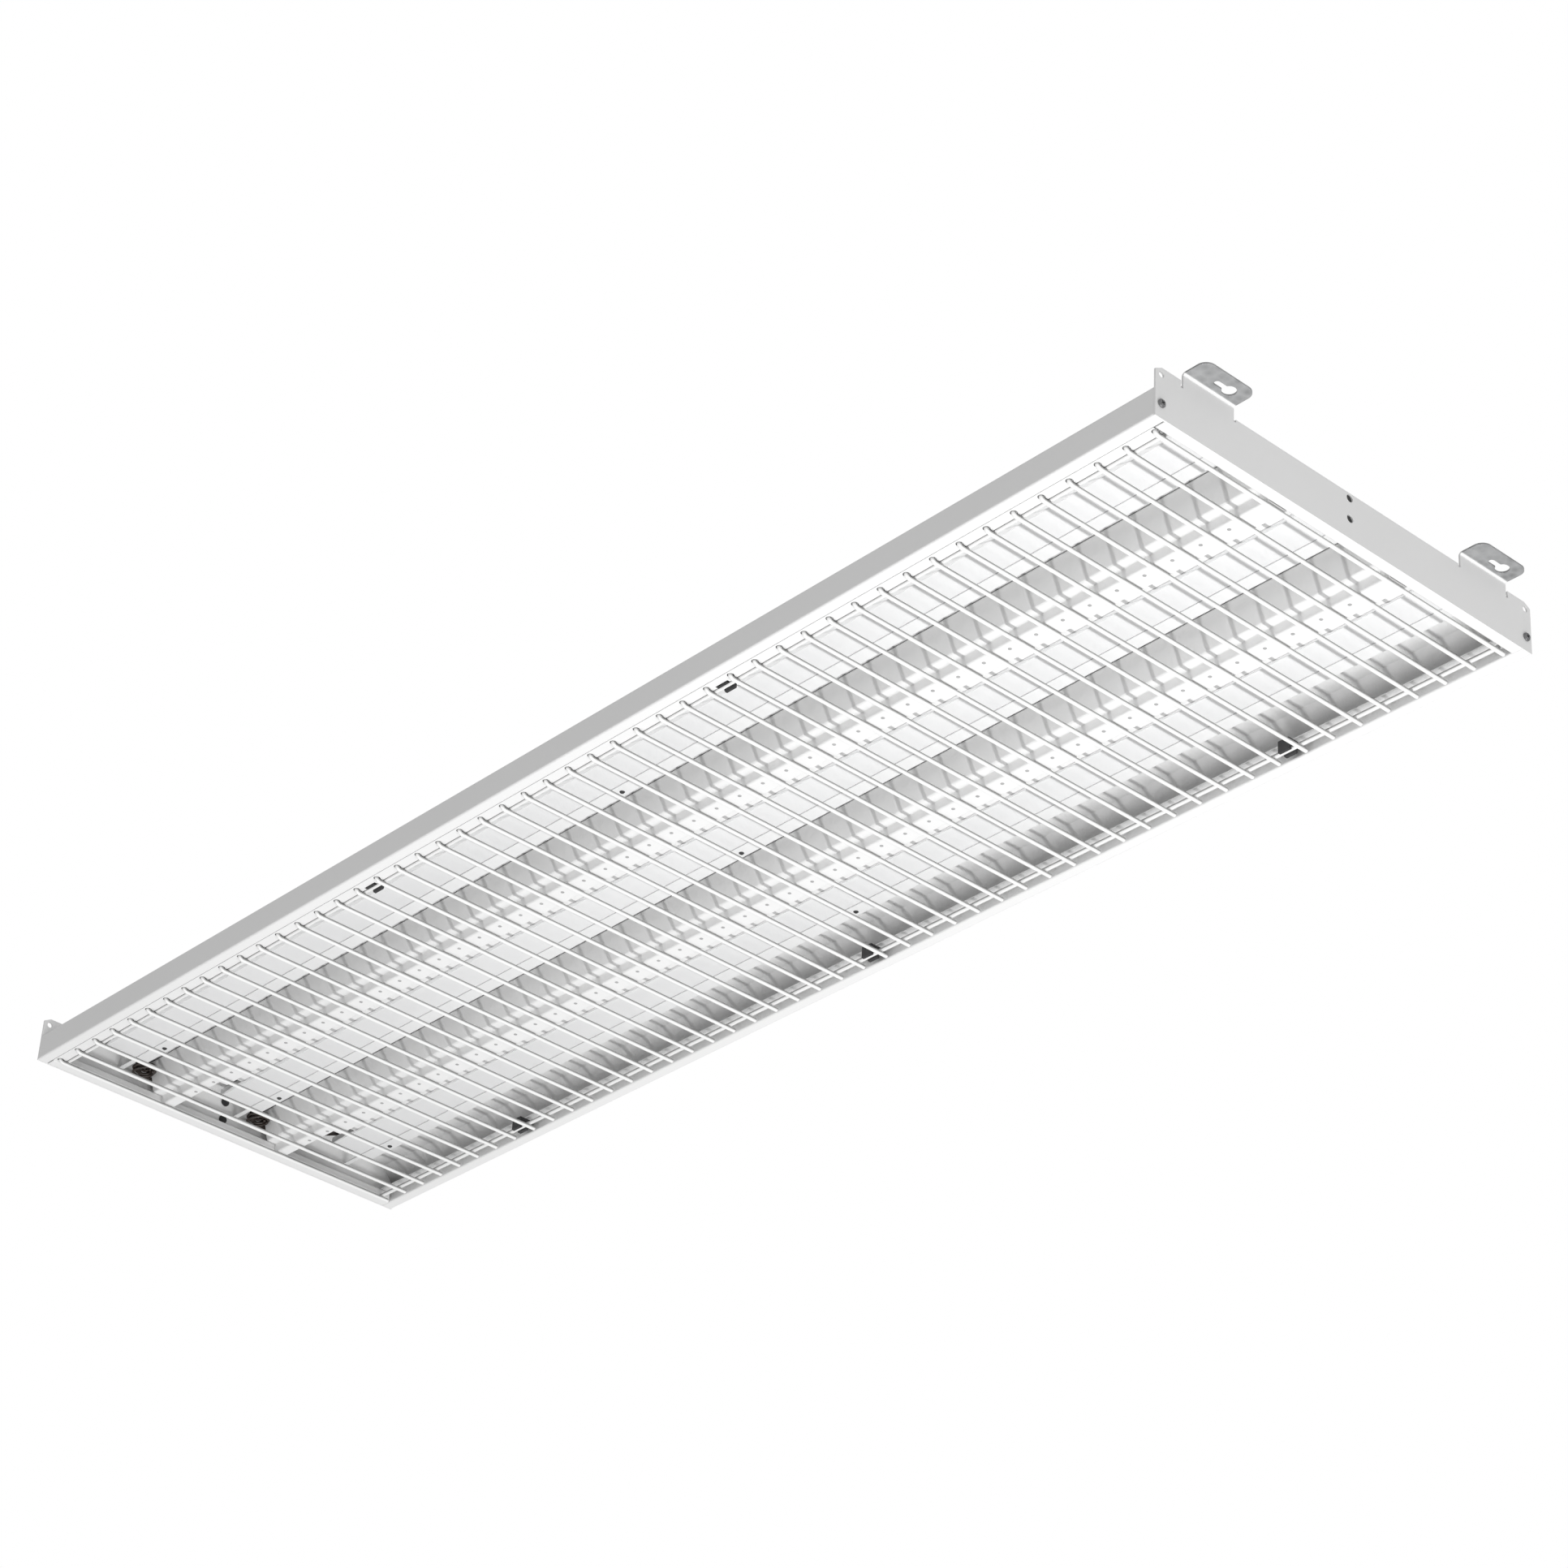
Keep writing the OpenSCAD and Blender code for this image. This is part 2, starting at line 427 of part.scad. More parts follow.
module earth_stud() color(steel) rim() translate([0.70 * hl, -row_pitch / 2, 0]) {
  difference() {
    union() {
      translate([0, 0, top_z - 14]) cylinder(r = 2, h = 14.01, $fn = 32);
      translate([0, 0, top_z]) cylinder(r = 4, h = 1.6, $fn = 36);
      translate([0, 0, top_z - tray_t - 4.4]) cylinder(r = 4, h = 3.2, $fn = 6);
      translate([0, 0, top_z - tray_t - 1.2]) cylinder(r = 4.5, h = 1.2, $fn = 36);
    }
  }
}
module cable_grommet() color(black) rim() translate([0.80 * hl, -row_pitch / 2, 0]) rotate_extrude($fn = 48)
  polygon([[5, top_z - 5], [7.5, top_z - 5], [11.5, top_z - tray_t - 1.4], [11.5, top_z - tray_t], [9.4, top_z - tray_t],
    [9.4, top_z], [11.5, top_z], [11.5, top_z + 1.6], [10.6, top_z + 2.4], [5, top_z + 2.4]]);

// insulated leads from the terminal block to both drivers
dz = top_z - tray_t - 13;
tz = top_z - tray_t - 10;
module supply_leads() color([0.2, 0.2, 0.22]) rim() {
  yl = -row_pitch / 2;
  yh = row_pitch / 2;
  xh = driver_x[1] + driver_l / 2;
  xl = driver_x[0] + driver_l / 2;
  // block to the hinge-side driver, round the near end of the centre row
  xn = 0.96 * hl;
  tube(smooth([[tb_x - 12, yl + 8, tz], [tb_x - 20, yl + 8, tz], [tb_x - 30, yl + 12, tz + 1], [tb_x - 31, yl + 18, 36], [tb_x - 20, yl + 21.5, 37],
    [tb_x + 20, yl + 22, 37], [tb_x + 100, yl + 22, 37], [xn - 40, yl + 22, 37], [xn - 12, yl + 27, 38], [xn - 2, yl + 42, 38.9], [xn, -10, 39], [xn, 10, 39],
    [xn, yh - 40, 38.9], [xn, yh - 28, 38.2], [xn - 1, yh - 20, 37.4], [xn - 12, yh - 14, 35], [xn - 40, yh - 9, 31], [xh + 200, yh - 8, dz], [xh + 80, yh - 8, dz],
    [xh + 8, yh - 8, dz], [xh - 6, yh - 8, dz]], 4), 1.6, 10);
  // block to the latch-side driver
  tube(smooth([[tb_x - 12, yl - 8, tz], [tb_x - 24, yl - 8, tz], [tb_x - 60, yl - 9, dz - 3], [tb_x - 160, yl - 10, dz - 5],
    [tb_x - 320, yl - 9, dz - 4], [xl + 60, yl - 8, dz - 2], [xl + 20, yl - 8, dz], [xl - 6, yl - 8, dz]], 4), 1.6, 10);
}
// last stretch of a driver's output lead: along the gear channel and up into its block
function lead_end(y) = [[-hl + 90, y, 24], [-hl + 45, y, 20], [-hl + 20, y, 17.4], [-hl + 10, y, 16.8],
  [-hl + 6.8, y, 20], [-hl + 6, y, 25.6]];
module driver_output_leads() color(brown) rim() {
  yl = -row_pitch / 2;
  yh = row_pitch / 2;
  a = driver_x[0] - driver_l / 2;
  b = driver_x[1] - driver_l / 2;
  tube(smooth(concat([[a + 6, yl + 8, dz], [a - 12, yl + 8, dz], [a - 60, yl + 3, dz - 3], [-hl + 180, yl - 6, 25]], lead_end(rows[0] + 60)), 4), 1.9, 10);
  tube(smooth(concat([[b + 6, yh - 8, dz], [b - 12, yh - 8, dz], [b - 70, yh - 10, dz - 4], [-300, yh - 9, 25], [-hl + 180, yh - 9, 25]],
    lead_end(rows[1] + 60)), 4), 1.9, 10);
  tube(smooth(concat([[b + 6, yh + 8, dz], [b - 12, yh + 8, dz], [b - 70, yh + 8, dz - 4], [-300, yh + 7.5, 25], [-hl + 180, yh + 7.5, 25]],
    lead_end(rows[2] - 62.5)), 4), 1.9, 10);
}

// ---------- guard ----------
// one cross wire, its latch end bent up inside the lip
module cross_wire(x) {
  r = wire_d / 2;
  b = 4;
  y0 = tip_y;                        // axis of the upturned end
  translate([x, hinge_y + 6.3, cross_z]) rotate([90, 0, 0]) cylinder(r = r, h = hinge_y + 6.3 - (y0 + b), $fn = 28);
  translate([x, y0 + b, cross_z + b]) rotate([0, 90, 0]) rotate([0, 0, 0])
    rotate_extrude(angle = -90, $fn = 48) translate([b, 0]) circle(r = r, $fn = 28);
  translate([x, y0, cross_z + b]) cylinder(r = r, h = 1.6, $fn = 28);
}
module guard_cross_wires() color(white) rim()
  for (i = [0 : n_wires - 1]) cross_wire(-hl + wire_x0 + pitch * (i + 0.5));
module long_wire(y) color(white) rim() translate([-hl + 13.5, y, long_z]) rotate([0, 90, 0])
  cylinder(r = wire_d / 2, h = 2 * hl - 27, $fn = 28);
module guard_hinge_wire() long_wire(hinge_y);
module guard_latch_wire() long_wire(latch_y);

// ---------- clips ----------
clip_w = 12;
clip_top = shelf_z;
// section across the wire (y from the wire's axis, z from the rim)
module clip_2d(bore, mouth, foot0, foot1) difference() {
  union() {
    translate([-5.6, -1.1]) square([11.2, clip_top + 1.1]);
    translate([foot0, clip_top - 2.2]) square([foot1 - foot0, 2.2]);
  }
  translate([0, long_z]) circle(r = bore, $fn = 40);
  translate([-mouth, -2]) square([2 * mouth, long_z + 2]);
  // flared mouth
  polygon([[-mouth - 1.1, -1.2], [mouth + 1.1, -1.2], [mouth, 0.1], [-mouth, 0.1]]);
  // slots that let the legs spring
  translate([-4.2, long_z + 3.6]) square([8.4, 1.2]);
}
hinge_clip_x = [-508 * hl / 750, 0, 508 * hl / 750];
latch_clip_x = [-238 * hl / 750, 238 * hl / 750];
// nearest middle of a gap between two cross wires
function cell(x) = round((x + hl - wire_x0) / pitch) * pitch - hl + wire_x0;
module hinge_clips() color(black) rim() for (x = hinge_clip_x) translate([0, hinge_y, 0])
  difference() {
    along_x(cell(x) - clip_w / 2, cell(x) + clip_w / 2) clip_2d(wire_d / 2 + 0.3, wire_d / 2 - 0.4, -5.6, 11);
    translate([cell(x), 8.2, clip_top - 4]) cylinder(r = 1.6, h = 6, $fn = 28);
  }
module latch_clips() color(black) rim() for (x = latch_clip_x) translate([0, latch_y, 0]) 
  difference() {
    along_x(cell(x) - clip_w / 2, cell(x) + clip_w / 2) clip_2d(wire_d / 2 + 0.35, wire_d / 2 + 0.35, -11, 5.6);
    translate([cell(x), -8.2, clip_top - 4]) cylinder(r = 1.6, h = 6, $fn = 28);
  }
module clip_rivets() color(black) rim() {
  for (x = hinge_clip_x) translate([cell(x), hinge_y + 8.2, 0]) rivet_up();
  for (x = latch_clip_x) translate([cell(x), latch_y - 8.2, 0]) rivet_up();
}
module rivet_up() {
  translate([0, 0, clip_top - 2.2 - 1.22]) cylinder(r1 = 1.9, r2 = 2.45, h = 1.2, $fn = 32);
  translate([0, 0, clip_top - 2.23]) cylinder(r = 1.5, h = 2.23 + tray_t + 0.02, $fn = 28);
  translate([0, 0, clip_top + tray_t]) cylinder(r = 2.4, h = 1, $fn = 28);
}

housing_tray();
end_plate_near();
end_plate_far();
corner_brackets();
end_plate_screws();
hole_blanks();
mid_rail_latch_side();
mid_rail_hinge_side();
reflector_latch_side();
reflector_centre();
reflector_hinge_side();
reflector_spacers();
spacer_screws();
heat_spreader_latch_side();
heat_spreader_centre();
heat_spreader_hinge_side();
led_board_latch_side();
led_board_centre();
led_board_hinge_side();
led_chips_latch_side();
led_chips_centre();
led_chips_hinge_side();
opal_cover_latch_side();
opal_cover_centre();
opal_cover_hinge_side();
module_end_caps();
cover_rivets();
led_lead_latch_side();
led_lead_centre();
led_lead_hinge_side();
lead_connectors();
driver_latch_side();
driver_hinge_side();
driver_screws();
terminal_block();
terminal_screws();
earth_stud();
cable_grommet();
supply_leads();
driver_output_leads();
guard_cross_wires();
guard_hinge_wire();
guard_latch_wire();
hinge_clips();
latch_clips();
clip_rivets();
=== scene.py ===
import math
import bpy
from mathutils import Vector, Matrix


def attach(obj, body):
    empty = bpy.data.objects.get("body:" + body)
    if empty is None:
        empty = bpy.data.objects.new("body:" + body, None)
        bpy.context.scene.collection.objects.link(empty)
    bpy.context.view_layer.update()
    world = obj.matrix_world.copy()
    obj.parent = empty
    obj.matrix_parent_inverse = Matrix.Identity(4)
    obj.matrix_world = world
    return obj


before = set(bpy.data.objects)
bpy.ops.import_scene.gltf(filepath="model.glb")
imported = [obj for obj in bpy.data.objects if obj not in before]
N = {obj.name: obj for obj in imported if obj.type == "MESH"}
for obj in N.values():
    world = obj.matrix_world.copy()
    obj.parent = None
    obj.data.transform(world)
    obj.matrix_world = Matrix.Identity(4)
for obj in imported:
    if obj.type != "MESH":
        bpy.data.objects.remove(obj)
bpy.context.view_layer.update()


# ---------------------------------------------------------------- materials
class Mat:
    """A small helper that builds one procedural material."""

    def __init__(self, name, rough=0.5, metallic=0.0):
        self.m = bpy.data.materials.new(name)
        self.m.use_nodes = True
        self.nt = self.m.node_tree
        self.bsdf = self.nt.nodes["Principled BSDF"]
        self.bsdf.inputs["Roughness"].default_value = rough
        self.bsdf.inputs["Metallic"].default_value = metallic
        self.tc = self.nt.nodes.new("ShaderNodeTexCoord")
        self.height = None
        # soft rounding of the pressed and moulded edges
        rnd = self.nt.nodes.new("ShaderNodeBevel")
        rnd.samples = 4
        rnd.inputs["Radius"].default_value = 0.00045
        self.height = rnd.outputs["Normal"]
        self.nt.links.new(self.height, self.bsdf.inputs["Normal"])

    def put(self, socket, value):
        self.bsdf.inputs[socket].default_value = value

    def mapped(self, scale=(1, 1, 1), rot=(0, 0, 0)):
        mp = self.nt.nodes.new("ShaderNodeMapping")
        mp.inputs["Scale"].default_value = scale
        mp.inputs["Rotation"].default_value = rot
        self.nt.links.new(self.tc.outputs["Object"], mp.inputs["Vector"])
        return mp.outputs["Vector"]

    def noise(self, scale, detail=3.0, rough=0.5, stretch=(1, 1, 1)):
        n = self.nt.nodes.new("ShaderNodeTexNoise")
        n.inputs["Scale"].default_value = scale
        n.inputs["Detail"].default_value = detail
        n.inputs["Roughness"].default_value = rough
        self.nt.links.new(self.mapped(stretch), n.inputs["Vector"])
        return n.outputs["Fac"]

    def voronoi(self, scale, stretch=(1, 1, 1), feature="F1"):
        n = self.nt.nodes.new("ShaderNodeTexVoronoi")
        n.feature = feature
        n.inputs["Scale"].default_value = scale
        self.nt.links.new(self.mapped(stretch), n.inputs["Vector"])
        return n.outputs["Distance"]

    def ramp(self, fac, stops):
        r = self.nt.nodes.new("ShaderNodeValToRGB")
        e = r.color_ramp.elements
        while len(e) > len(stops):
            e.remove(e[-1])
        while len(e) < len(stops):
            e.new(0.5)
        for el, (p, c) in zip(e, stops):
            el.position = p
            el.color = (c[0], c[1], c[2], 1) if len(c) == 3 else c
        self.nt.links.new(fac, r.inputs["Fac"])
        return r.outputs["Color"]

    def span(self, fac, lo, hi, a=0.0, b=1.0):
        r = self.nt.nodes.new("ShaderNodeMapRange")
        r.inputs["From Min"].default_value = a
        r.inputs["From Max"].default_value = b
        r.inputs["To Min"].default_value = lo
        r.inputs["To Max"].default_value = hi
        self.nt.links.new(fac, r.inputs["Value"])
        return r.outputs["Result"]

    def mix(self, fac, a, b, mode="MIX"):
        x = self.nt.nodes.new("ShaderNodeMix")
        x.data_type = "RGBA"
        x.blend_type = mode
        for sock, v in ((x.inputs["Factor"], fac), (x.inputs[6], a), (x.inputs[7], b)):
            if hasattr(v, "is_output"):
                self.nt.links.new(v, sock)
            else:
                sock.default_value = v if not isinstance(v, tuple) or len(v) == 4 else (*v, 1)
        return x.outputs[2]

    def math(self, op, a, b=0.0):
        x = self.nt.nodes.new("ShaderNodeMath")
        x.operation = op
        for sock, v in ((x.inputs[0], a), (x.inputs[1], b)):
            if hasattr(v, "is_output"):
                self.nt.links.new(v, sock)
            else:
                sock.default_value = v
        return x.outputs[0]

    def occlusion_shade(self, colour, dark, distance=0.034, lo=0.1, hi=0.55):
        """Painted shade: a darker colour in folds and pockets, where little open air is near (ambient occlusion)."""
        ao = self.nt.nodes.new("ShaderNodeAmbientOcclusion")
        ao.samples = 4
        ao.inputs["Distance"].default_value = distance
        fac = self.span(ao.outputs["AO"], 0.0, 1.0, lo, hi)
        fac.node.clamp = True
        return self.mix(fac, dark, colour)

    def link(self, out, socket):
        self.nt.links.new(out, self.bsdf.inputs[socket])

    def bump(self, fac, strength, distance):
        b = self.nt.nodes.new("ShaderNodeBump")
        b.inputs["Strength"].default_value = strength
        b.inputs["Distance"].default_value = distance
        self.nt.links.new(fac, b.inputs["Height"])
        if self.height is not None:
            self.nt.links.new(self.height, b.inputs["Normal"])
        self.height = b.outputs["Normal"]
        self.nt.links.new(self.height, self.bsdf.inputs["Normal"])


def powder_white(name, base, rough, peel, tint=0.012, occlusion_shade_colour=None):
    """Powder coat: orange-peel skin, faint cloudiness, a few dull patches, and optional painted shade in folds and
    pockets.
    """
    m = Mat(name, rough)
    cloud = m.noise(9.0, 3.0, 0.55, (0.35, 1, 1))
    lo = tuple(c - tint for c in base)
    hi = tuple(min(1.0, c + tint * 0.5) for c in base)
    coat = m.ramp(cloud, [(0.3, lo), (0.7, hi)])
    # painted shade: when a shade colour is given, folds and pockets are darkened by ambient occlusion
    m.link(m.occlusion_shade(coat, occlusion_shade_colour) if occlusion_shade_colour else coat, "Base Color")
    fine = m.noise(60.0, 4.0, 0.6)
    m.link(m.span(fine, rough - 0.05, rough + 0.07), "Roughness")
    m.bump(m.noise(420.0, 2.0, 0.5), peel, 0.0004)
    m.bump(m.noise(2200.0, 1.0, 0.5), peel * 0.35, 0.0001)
    m.put("Specular IOR Level", 0.42)
    return m.m


# the housing's coat carries painted shade in its folds and pockets
HOUSING = powder_white("housing_coat_painted_crevice_shade", (0.865, 0.865, 0.863), 0.46, 0.10, occlusion_shade_colour=(0.09, 0.09, 0.09))
WHITE = powder_white("white_powder_coat", (0.87, 0.87, 0.868), 0.46, 0.10)


def end_plate_coat_painted_ear_shade():
    """The housing's powder coat; the bent-out ears are given a dark grey, partly metallic colour as painted shade,
    standing in for the end plate's shadow on them.
    """
    m = Mat("end_plate_coat_painted_ear_shade", 0.46)
    cloud = m.noise(9.0, 3.0, 0.55, (0.35, 1, 1))
    coat = m.ramp(cloud, [(0.3, (0.858, 0.858, 0.856)), (0.7, (0.876, 0.876, 0.874))])
    xyz = m.nt.nodes.new("ShaderNodeSeparateXYZ")
    m.nt.links.new(m.tc.outputs["Object"], xyz.inputs[0])
    # distance beyond the plate's outer face, then height close to the ceiling
    out = m.span(m.math("ABSOLUTE", xyz.outputs["X"]), 0.0, 1.0, 0.7512, 0.7530)
    high = m.span(xyz.outputs["Z"], 0.0, 1.0, -0.0045, -0.0020)
    ear_shade_mask = m.math("MULTIPLY", out, high)
    spangle = m.voronoi(150.0, (1, 1, 1))
    base_n = m.noise(36.0, 4.0, 0.6, (1, 0.4, 1))
    # painted shade on the ears: a dark grey, zinc-like colour mixed in by the ear mask
    ear_shade_colour = m.mix(m.span(spangle, 0.0, 1.0, 0.1, 0.9), m.ramp(base_n, [(0.3, (0.25, 0.253, 0.256)), (0.75, (0.42, 0.424, 0.428))]),
                 (0.47, 0.474, 0.478), "MIX")
    m.link(m.mix(ear_shade_mask, coat, ear_shade_colour), "Base Color")
    m.link(m.math("MULTIPLY", ear_shade_mask, 0.65), "Metallic")
    m.link(m.span(m.noise(60.0, 4.0, 0.6), 0.38, 0.52), "Roughness")
    m.bump(m.noise(420.0, 2.0, 0.5), 0.10, 0.0004)
    m.bump(m.noise(2200.0, 1.0, 0.5), 0.035, 0.0001)
    m.put("Specular IOR Level", 0.42)
    return m.m


END_PLATE = end_plate_coat_painted_ear_shade()
REFLECTOR = powder_white("reflector_coil_coat", (0.845, 0.847, 0.847), 0.33, 0.04, 0.014)


def guard_coat_with_painted_shade():
    """Powder coat on wire, with painted shade: the side that faces the ceiling is painted dark grey."""
    m = Mat("guard_powder_coat_painted_shade", 0.38)
    cloud = m.noise(9.0, 3.0, 0.55, (0.35, 1, 1))
    coat = m.ramp(cloud, [(0.3, (0.88, 0.88, 0.875)), (0.7, (0.895, 0.895, 0.89))])
    xyz = m.nt.nodes.new("ShaderNodeSeparateXYZ")
    m.nt.links.new(m.tc.outputs["Normal"], xyz.inputs[0])
    # painted shade: the upward-facing side of each wire is mixed towards dark grey
    up = m.span(xyz.outputs["Z"], 0.0, 1.0, -0.5, 0.0)
    m.link(m.mix(up, coat, (0.36, 0.36, 0.357)), "Base Color")
    m.link(m.span(m.noise(60.0, 4.0, 0.6), 0.33, 0.45), "Roughness")
    m.bump(m.noise(420.0, 2.0, 0.5), 0.12, 0.0004)
    m.bump(m.noise(2200.0, 1.0, 0.5), 0.042, 0.0001)
    m.put("Specular IOR Level", 0.42)
    return m.m


GUARD = guard_coat_with_painted_shade()


def opal():
    m = Mat("opal_cover_plastic", 0.2)
    long_streak = m.noise(7.0, 2.0, 0.45, (0.25, 2.6, 1))
    m.link(m.ramp(long_streak, [(0.3, (0.79, 0.793, 0.796)), (0.72, (0.865, 0.867, 0.87))]), "Base Color")
    m.link(m.span(m.noise(40.0, 3.0), 0.16, 0.26), "Roughness")
    m.bump(m.noise(11.0, 2.0, 0.4, (0.5, 1.6, 1)), 0.12, 0.002)
    m.bump(m.noise(900.0, 1.0), 0.03, 0.0001)
    m.put("Subsurface Weight", 0.15)
    m.put("Subsurface Radius", (1.0, 1.0, 1.0))
    m.put("Subsurface Scale", 0.004)
    m.put("IOR", 1.49)
    return m.m


OPAL = opal()


def plain_plastic(name, base, rough, grain, grain_scale=1400.0, vary=0.02):
    m = Mat(name, rough)
    lo = tuple(max(0.0, c - vary) for c in base)
    hi = tuple(min(1.0, c + vary) for c in base)
    m.link(m.ramp(m.noise(45.0, 3.0), [(0.3, lo), (0.7, hi)]), "Base Color")
    m.link(m.span(m.noise(120.0, 3.0), rough - 0.06, rough + 0.08), "Roughness")
    m.bump(m.noise(grain_scale, 2.0), grain, 0.00012)
    return m.m


BLACK = plain_plastic("black_moulded_plastic", (0.028, 0.028, 0.029), 0.42, 0.25, vary=0.008)
CAPS = plain_plastic("white_moulded_plastic", (0.80, 0.80, 0.79), 0.45, 0.12)
DRIVER = plain_plastic("driver_case_plastic", (0.78, 0.78, 0.77), 0.38, 0.2)
TERMINAL = plain_plastic("terminal_grey_plastic", (0.66, 0.66, 0.64), 0.5, 0.2)
RUBBER = plain_plastic("grommet_rubber", (0.025, 0.025, 0.026), 0.62, 0.35, 900.0, 0.006)
BOARD = plain_plastic("board_solder_mask", (0.83, 0.84, 0.82), 0.28, 0.06)
CHIP = plain_plastic("chip_phosphor", (0.80, 0.62, 0.18), 0.35, 0.1, vary=0.03)


def sheath():
    m = Mat("dark_lead_sheath", 0.4)
    m.link(m.ramp(m.noise(60.0, 3.0), [(0.35, (0.018, 0.014, 0.012)), (0.7, (0.05, 0.036, 0.03))]), "Base Color")
    m.link(m.span(m.noise(200.0, 2.0), 0.34, 0.5), "Roughness")
    m.bump(m.noise(700.0, 2.0), 0.15, 0.0002)
    return m.m


SHEATH = sheath()


def zinc(name, lo, hi):
    m = Mat(name, 0.32, 1.0)
    m.link(m.ramp(m.noise(140.0, 4.0, 0.6), [(0.3, lo), (0.7, hi)]), "Base Color")
    m.link(m.span(m.noise(260.0, 3.0), 0.24, 0.42), "Roughness")
    m.bump(m.noise(1500.0, 2.0), 0.12, 0.0001)
    return m.m


ZINC = zinc("bright_zinc", (0.50, 0.51, 0.52), (0.66, 0.67, 0.68))
DARK_ZINC = zinc("dull_zinc", (0.20, 0.20, 0.205), (0.32, 0.32, 0.325))
RIVET = plain_plastic("rivet_grey_lacquer", (0.42, 0.42, 0.42), 0.4, 0.1, vary=0.03)


def mill_aluminium():
    m = Mat("mill_aluminium", 0.35, 1.0)
    streak = m.noise(160.0, 3.0, 0.6, (0.02, 1, 1))
    m.link(m.ramp(streak, [(0.3, (0.62, 0.63, 0.64)), (0.7, (0.74, 0.75, 0.76))]), "Base Color")
    m.link(m.span(streak, 0.28, 0.42), "Roughness")
    m.bump(m.noise(900.0, 2.0, 0.5, (0.02, 1, 1)), 0.12, 0.0001)
    return m.m


ALU = mill_aluminium()

BY_NODE = {}
for n in N:
    if n == "housing_tray":
        BY_NODE[n] = HOUSING
    elif n in ("mid_rail_latch_side", "mid_rail_hinge_side"):
        BY_NODE[n] = WHITE
    elif n in ("end_plate_near", "end_plate_far"):
        BY_NODE[n] = END_PLATE
    elif n.startswith("reflector_") and n != "reflector_spacers":
        BY_NODE[n] = REFLECTOR
    elif n.startswith("guard_"):
        BY_NODE[n] = GUARD
    elif n.startswith("opal_cover"):
        BY_NODE[n] = OPAL
    elif n.startswith("heat_spreader"):
        BY_NODE[n] = ALU
    elif n.startswith("led_board"):
        BY_NODE[n] = BOARD
    elif n.startswith("led_chips"):
        BY_NODE[n] = CHIP
    elif n in ("led_lead_latch_side", "led_lead_centre", "led_lead_hinge_side", "supply_leads", "driver_output_leads"):
        BY_NODE[n] = SHEATH
    elif n == "module_end_caps":
        BY_NODE[n] = CAPS
    elif n in ("driver_latch_side", "driver_hinge_side"):
        BY_NODE[n] = DRIVER
    elif n == "terminal_block":
        BY_NODE[n] = TERMINAL
    elif n == "cable_grommet":
        BY_NODE[n] = RUBBER
    # the black of the hole blanks is painted shade, standing in for the dark seen through open holes in the end plates
    elif n in ("hinge_clips", "latch_clips", "clip_rivets", "cover_rivets", "lead_connectors", "hole_blanks"):
        BY_NODE[n] = BLACK
    elif n == "end_plate_screws":
        BY_NODE[n] = DARK_ZINC
    else:
        BY_NODE[n] = ZINC
for n, mat in BY_NODE.items():
    o = N[n]
    o.data.materials.clear()
    o.data.materials.append(mat)

# ---------------------------------------------------------------- added pieces
RIM = -0.056


def new_piece(name, verts, faces, mat, smooth=True):
    me = bpy.data.meshes.new(name)
    me.from_pydata(verts, [], faces)
    me.update()
    if smooth:
        me.polygons.foreach_set("use_smooth", [True] * len(me.polygons))
    me.materials.append(mat)
    o = bpy.data.objects.new(name, me)
    bpy.context.scene.collection.objects.link(o)
    return o


def tube_points(path, r, seg, verts, faces):
    """Sweeps a circle along a list of points and adds closed ends."""
    pts = [Vector(q) for q in path]
    start = len(verts)
    t = (pts[1] - pts[0]).normalized()
    u = t.orthogonal().normalized()
    for i, q in enumerate(pts):
        a = pts[max(i - 1, 0)]
        b = pts[min(i + 1, len(pts) - 1)]
        t = (b - a).normalized()
        u = (u - t * u.dot(t)).normalized()
        v = t.cross(u)
        for k in range(seg):
            w = 2 * math.pi * k / seg
            verts.append(tuple(q + r * (math.cos(w) * u + math.sin(w) * v)))
    n = len(pts)
    for i in range(n - 1):
        for k in range(seg):
            k1 = (k + 1) % seg
            faces.append((start + i * seg + k, start + i * seg + k1, start + (i + 1) * seg + k1, start + (i + 1) * seg + k))
    faces.append(tuple(start + k for k in reversed(range(seg))))
    faces.append(tuple(start + (n - 1) * seg + k for k in range(seg)))


# slack of the plug-in leads, coiled in the open corner beside the first two rows
def slack_coil(name, row_y, turns, phase):
    verts, faces = [], []
    n = int(26 * turns)
    for strand in (0, 1):
        path = []
        for i in range(n + 1):
            w = 2 * math.pi * turns * i / n + phase
            g = i / n
            rx = 7.4 + 1.2 * math.sin(2.3 * w + strand) - 1.9 * strand
            ru = 10.6 + 1.5 * math.cos(1.7 * w + 2 * strand) - 2.4 * strand
            path.append(((-750 + 17.5 + rx * math.cos(w)) / 1000, (row_y + 31.5 + ru * math.sin(w)) / 1000,
                         RIM + (22.5 + 8 * g + 2.0 * math.sin(w + 0.6) + 2.4 * strand) / 1000))
        tube_points(path, 0.00135, 10, verts, faces)
    o = new_piece(name, verts, faces, SHEATH)
    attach(o, "lamp_body")
    return o


slack_coil("lead_slack_latch_side", -139.5, 2.4, 0.4)
slack_coil("lead_slack_centre", 0.0, 2.4, 1.1)


